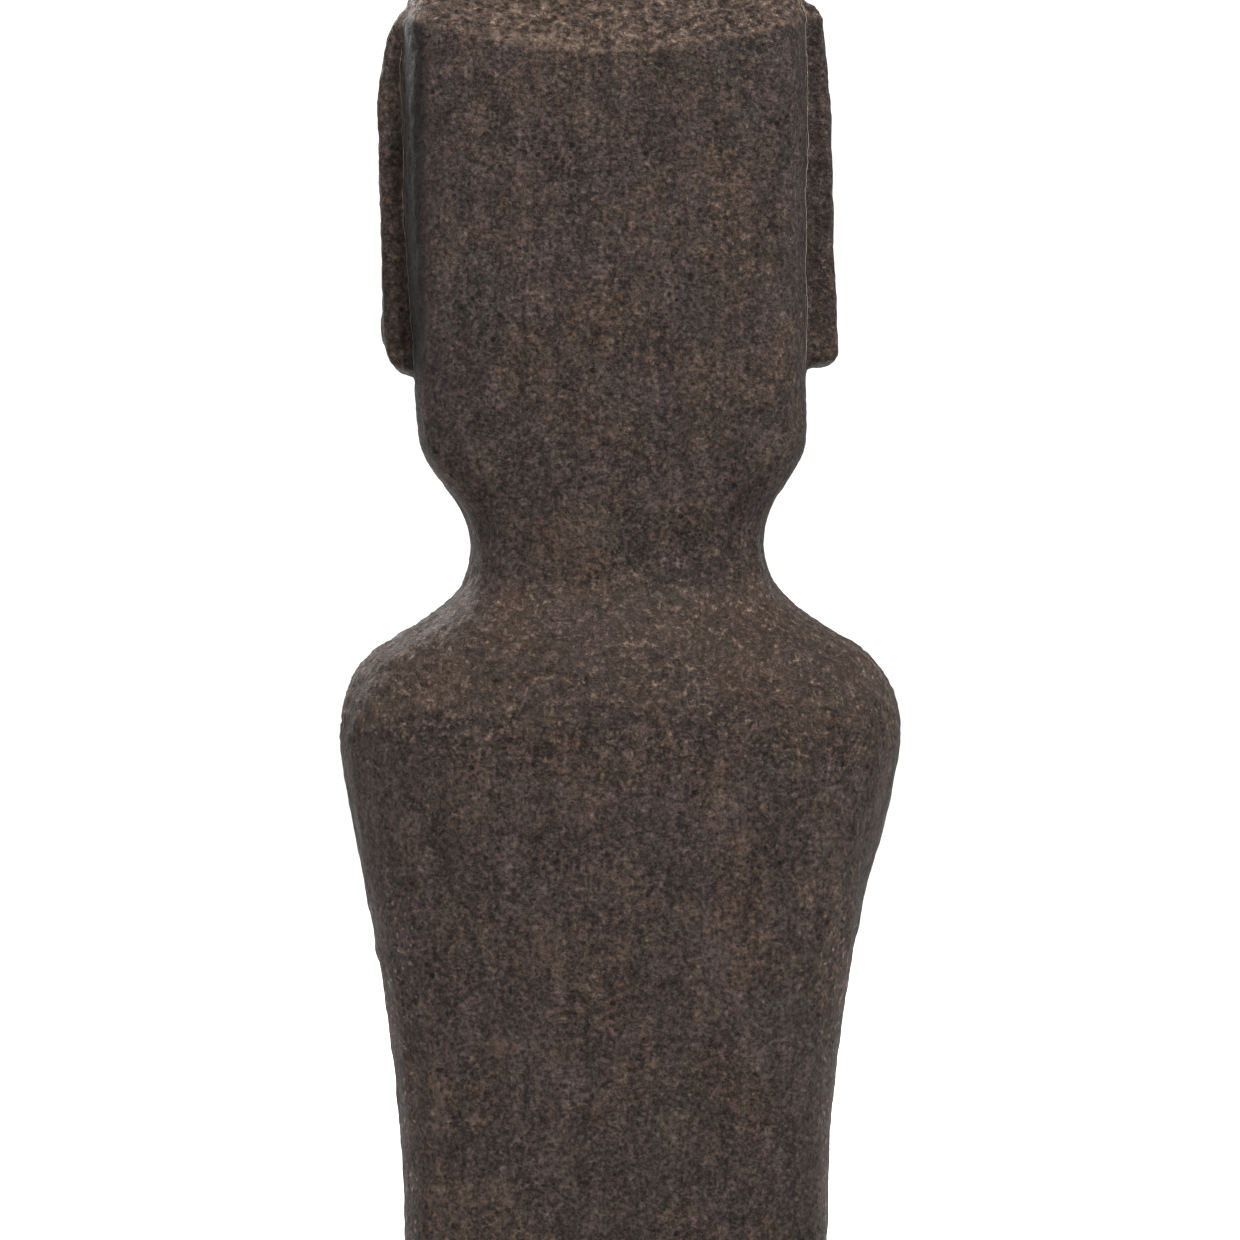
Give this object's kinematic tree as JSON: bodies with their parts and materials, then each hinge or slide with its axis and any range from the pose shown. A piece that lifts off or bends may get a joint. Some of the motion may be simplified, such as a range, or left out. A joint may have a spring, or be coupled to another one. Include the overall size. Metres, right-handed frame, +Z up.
{
  "type": "statue",
  "caption": "Standing stone-look island ancestor figure with long ears and arms laid along its body, a hollow casting on rubber feet.",
  "frame": {"origin": "on the ground under the middle of the figure", "axes": "+Z up, the figure looks along -Y, its left is +X"},
  "size_m": [0.4005, 0.2482, 1],
  "materials": {
    "stone_cast": "matt, weathered",
    "seam_mortar": "matt",
    "fibre_tape": "woven",
    "bare_steel": "mill finish",
    "zinc_steel": "zinc plated",
    "timber": "planed",
    "fibre_cement": "matt",
    "rubber": "moulded"
  },
  "bodies": {
    "root": {"front_shell": "stone_cast", "back_shell": "stone_cast", "seam_mortar": "seam_mortar", "seam_tape": "fibre_tape", "left_upright_rod": "bare_steel", "right_upright_rod": "bare_steel", "head_tie_bar": "bare_steel", "shoulder_tie_bar": "bare_steel", "hip_tie_bar": "bare_steel", "left_head_pad": "seam_mortar", "left_neck_pad": "seam_mortar", "left_back_pad": "seam_mortar", "right_head_pad": "seam_mortar", "right_neck_pad": "seam_mortar", "right_back_pad": "seam_mortar", "base_board": "fibre_cement", "fixing_block_left": "timber", "fixing_block_right": "timber", "fixing_block_back_left": "timber", "fixing_block_back_right": "timber", "fixing_block_front_left": "timber", "fixing_block_front_right": "timber", "board_screw_left": "zinc_steel", "board_screw_right": "zinc_steel", "board_screw_back_left": "zinc_steel", "board_screw_back_right": "zinc_steel", "board_screw_front_left": "zinc_steel", "board_screw_front_right": "zinc_steel", "rubber_foot_front_left": "rubber", "rubber_foot_front_right": "rubber", "rubber_foot_back_left": "rubber", "rubber_foot_back_right": "rubber", "foot_screw_front_left": "zinc_steel", "foot_screw_front_right": "zinc_steel", "foot_screw_back_left": "zinc_steel", "foot_screw_back_right": "zinc_steel"}
  },
  "joints": []
}
